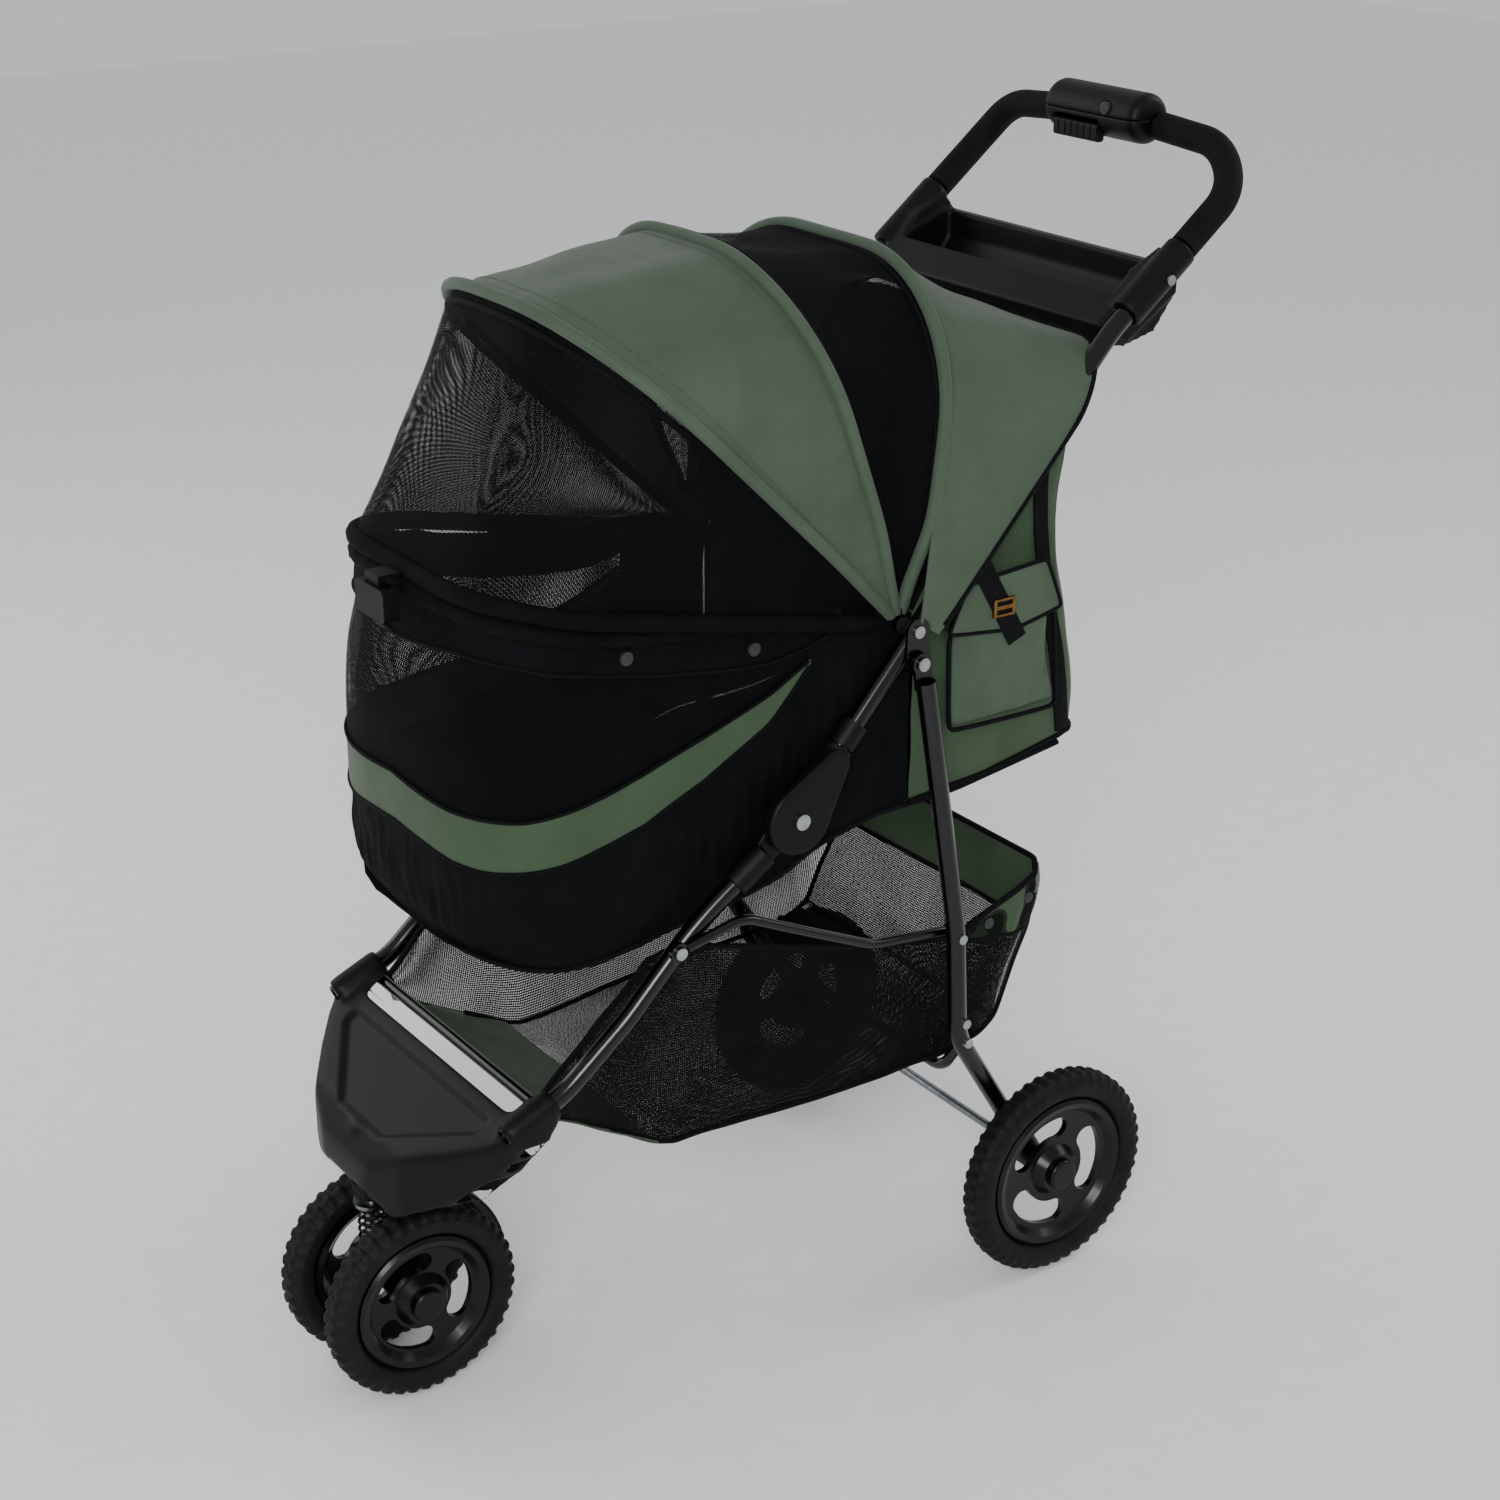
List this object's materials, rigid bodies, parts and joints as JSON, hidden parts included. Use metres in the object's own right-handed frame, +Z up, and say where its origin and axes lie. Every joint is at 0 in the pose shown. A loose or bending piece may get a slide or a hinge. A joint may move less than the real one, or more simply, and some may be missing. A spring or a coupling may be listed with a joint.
{
  "type": "pet stroller",
  "caption": "Folding three-wheel pet stroller: mesh-windowed cabin with fan canopy, storage basket, parent tray and a twin-wheel swivel caster.",
  "frame": {"origin": "on the floor, under the middle of the stroller's bounding box", "axes": "+Z up, +Y towards the push handle, +X towards the stroller's left side"},
  "size_m": [0.416, 0.821, 0.987],
  "materials": {
    "black_tube": "gloss powder coat",
    "axle_steel": "dull zinc",
    "rivet_steel": "zinc",
    "spring_steel": "black",
    "bronze": "antique",
    "black_plastic": "fine moulded grain",
    "grey_plastic": "satin",
    "gloss_plastic": "gloss",
    "tyre_foam": "matte foam",
    "foam": "matte foam",
    "green_fabric": "woven",
    "black_fabric": "woven",
    "black_mesh": "open mesh"
  },
  "bodies": {
    "upper_frame": {"handle_tube": "black_tube", "foam_grips": "foam", "handle_housing_upper": "black_plastic", "handle_housing_lower": "black_plastic", "parent_tray": "black_plastic", "upper_knuckle_left": "black_plastic", "upper_knuckle_right": "black_plastic", "hinge_pins": "rivet_steel", "pivot_brackets": "black_tube", "upper_rivets": "rivet_steel", "fan_pins": "rivet_steel", "canopy_rear_bow": "spring_steel", "canopy_rear_panel": "green_fabric", "pod_body": "black_fabric", "pod_rim_roll": "black_fabric", "floor_pad": "black_fabric", "pocket": "green_fabric", "pocket_buckle": "bronze", "front_latch": "black_plastic"},
    "trigger": {"release_trigger": "black_plastic"},
    "button": {"safety_button": "grey_plastic"},
    "lock_sleeves": {"lock_sleeves": "black_plastic"},
    "front_frame": {"front_leg_left": "black_tube", "front_leg_right": "black_tube", "lower_knuckle_left": "black_plastic", "lower_knuckle_right": "black_plastic", "link_rivets": "rivet_steel", "nose_shell": "black_plastic", "front_crossbar": "black_tube", "basket_body": "black_mesh"},
    "caster_stem": {"caster_stem": "axle_steel", "caster_spring": "spring_steel"},
    "caster_fork": {"caster_fork": "black_plastic", "front_axle": "axle_steel"},
    "front_wheel_left": {"front_tyre_left": "tyre_foam", "front_rim_left": "gloss_plastic"},
    "front_wheel_right": {"front_tyre_right": "tyre_foam", "front_rim_right": "gloss_plastic"},
    "rear_frame": {"rear_leg_left": "black_tube", "rear_leg_right": "black_tube", "rear_crossbar": "black_tube", "leg_rivets": "rivet_steel", "axle_blocks": "black_plastic", "rear_axle": "axle_steel"},
    "rear_wheel_left": {"rear_tyre_left": "tyre_foam", "rear_rim_left": "gloss_plastic", "rear_hub_cap_left": "gloss_plastic"},
    "rear_wheel_right": {"rear_tyre_right": "tyre_foam", "rear_rim_right": "gloss_plastic", "rear_hub_cap_right": "gloss_plastic"},
    "fold_links": {"fold_link_left": "black_tube", "fold_link_right": "black_tube"},
    "canopy_mid": {"canopy_mid_bow": "spring_steel", "canopy_mid_mesh": "black_mesh"},
    "canopy_front": {"canopy_front_bow": "spring_steel", "canopy_front_panel": "green_fabric"},
    "canopy_rim": {"canopy_rim_bow": "black_fabric", "canopy_front_mesh": "black_mesh", "latch_tongue": "black_plastic"}
  },
  "joints": [
    {"name": "frame_fold", "type": "hinge", "parent": "upper_frame", "child": "front_frame", "pos_m": [0, -0.041, 0.484], "axis": [1, 0, 0], "range_deg": [0, 105], "deforming": ["pod_body", "basket_body"]},
    {"name": "rear_leg_fold", "type": "hinge", "parent": "upper_frame", "child": "rear_frame", "pos_m": [0, 0.071, 0.592], "axis": [1, 0, 0], "range_deg": [0, 63.7]},
    {"name": "link_fold", "type": "hinge", "parent": "front_frame", "child": "fold_links", "pos_m": [0, -0.151, 0.399], "axis": [-1, 0, 0], "range_deg": [0, 66.6]},
    {"name": "caster_swivel", "type": "hinge", "parent": "front_frame", "child": "caster_stem", "pos_m": [0, -0.346, 0.17], "axis": [0, 0, 1], "continuous": true},
    {"name": "caster_suspension", "type": "slide", "parent": "caster_stem", "child": "caster_fork", "axis": [0, 0, 1], "range_m": [0, 0.007], "stiffness_N_per_m": 4500, "springref_m": -0.012, "deforming": ["caster_spring"]},
    {"name": "front_wheel_left_spin", "type": "hinge", "parent": "caster_fork", "child": "front_wheel_left", "pos_m": [0.039, -0.326, 0.0845], "axis": [1, 0, 0], "continuous": true},
    {"name": "front_wheel_right_spin", "type": "hinge", "parent": "caster_fork", "child": "front_wheel_right", "pos_m": [-0.039, -0.326, 0.0845], "axis": [1, 0, 0], "continuous": true},
    {"name": "rear_wheel_left_spin", "type": "hinge", "parent": "rear_frame", "child": "rear_wheel_left", "pos_m": [0.19175, 0.216, 0.095], "axis": [1, 0, 0], "continuous": true},
    {"name": "rear_wheel_right_spin", "type": "hinge", "parent": "rear_frame", "child": "rear_wheel_right", "pos_m": [-0.19175, 0.216, 0.095], "axis": [1, 0, 0], "continuous": true},
    {"name": "trigger_squeeze", "type": "slide", "parent": "upper_frame", "child": "trigger", "axis": [0, 1, 0], "range_m": [0, 0.005], "stiffness_N_per_m": 1500, "springref_m": -0.003},
    {"name": "safety_press", "type": "slide", "parent": "upper_frame", "child": "button", "axis": [0, 1, 0], "range_m": [0, 0.002], "stiffness_N_per_m": 1000, "springref_m": -0.002},
    {"name": "lock_sleeve_slide", "type": "slide", "parent": "upper_frame", "child": "lock_sleeves", "axis": [0, 0.6667, 0.7454], "range_m": [0, 0.012]},
    {"name": "canopy_mid_fold", "type": "hinge", "parent": "upper_frame", "child": "canopy_mid", "pos_m": [0, 0.071, 0.617], "axis": [-1, 0, 0], "range_deg": [0, 18], "deforming": ["canopy_mid_mesh"]},
    {"name": "canopy_front_fold", "type": "hinge", "parent": "canopy_mid", "child": "canopy_front", "pos_m": [0, 0.071, 0.617], "axis": [-1, 0, 0], "range_deg": [0, 18], "deforming": ["canopy_front_panel"]},
    {"name": "canopy_rim_fold", "type": "hinge", "parent": "canopy_front", "child": "canopy_rim", "pos_m": [0, 0.071, 0.617], "axis": [-1, 0, 0], "range_deg": [0, 21.6], "deforming": ["canopy_front_mesh"]}
  ],
  "couplings": [
    {"joint": "rear_leg_fold", "follows": "frame_fold", "ratio": 0.6058},
    {"joint": "link_fold", "follows": "frame_fold", "ratio": 0.6333},
    {"joint": "lock_sleeve_slide", "follows": "trigger_squeeze", "ratio": 2.4},
    {"joint": "canopy_front_fold", "follows": "canopy_mid_fold", "ratio": 1},
    {"joint": "canopy_rim_fold", "follows": "canopy_mid_fold", "ratio": 1.2}
  ]
}
